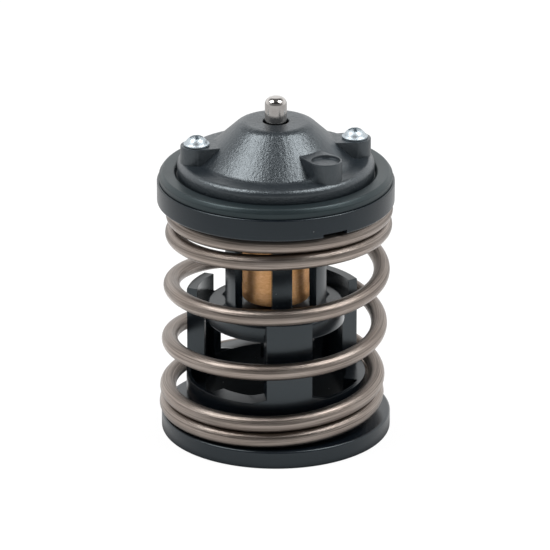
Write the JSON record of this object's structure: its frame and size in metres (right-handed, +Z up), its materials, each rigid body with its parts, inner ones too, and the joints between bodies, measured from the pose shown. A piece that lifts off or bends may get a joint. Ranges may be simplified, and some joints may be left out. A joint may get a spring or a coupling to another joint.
{
  "type": "engine thermostat",
  "caption": "Engine coolant thermostat: sprung flange valve with rubber seal, domed cover, wax element and push pin, on a moulded base with a bypass port.",
  "frame": {"origin": "centre of the base's underside, on the valve's axis", "axes": "+Z up along the valve's axis towards the push pin, front of the picture at -Y, +X to its right"},
  "size_m": [0.042, 0.042, 0.0622],
  "materials": {
    "moulded_plastic": "glossy dark blue-black moulding",
    "dome_plastic": "satin dark moulding with a fine texture",
    "spring_steel": "drawn steel wire, brownish grey",
    "seal_rubber": "satin black rubber",
    "zinc_screws": "bright zinc plate",
    "element_brass": "drawn brass, orange tan",
    "wax_filling": "off-white filling",
    "pin_steel": "ground and polished steel"
  },
  "bodies": {
    "base": {"base_moulding": "moulded_plastic", "main_spring": "spring_steel"},
    "valve": {"valve_cage": "moulded_plastic", "flange_seal": "seal_rubber", "dome_cover": "dome_plastic", "cover_screws": "zinc_screws", "wax_cup": "element_brass", "wax_charge": "wax_filling", "rubber_sleeve": "seal_rubber", "sleeve_washer": "wax_filling", "element_guide": "element_brass", "guide_ring": "seal_rubber"},
    "pin": {"push_pin": "pin_steel"}
  },
  "joints": [
    {"name": "valve_travel", "type": "slide", "parent": "base", "child": "valve", "axis": [0, 0, 1], "range_m": [-0.01, 0], "stiffness_N_per_m": 4300, "deforming": ["main_spring"]},
    {"name": "pin_stroke", "type": "slide", "parent": "valve", "child": "pin", "axis": [0, 0, 1], "range_m": [0, 0.01]}
  ]
}
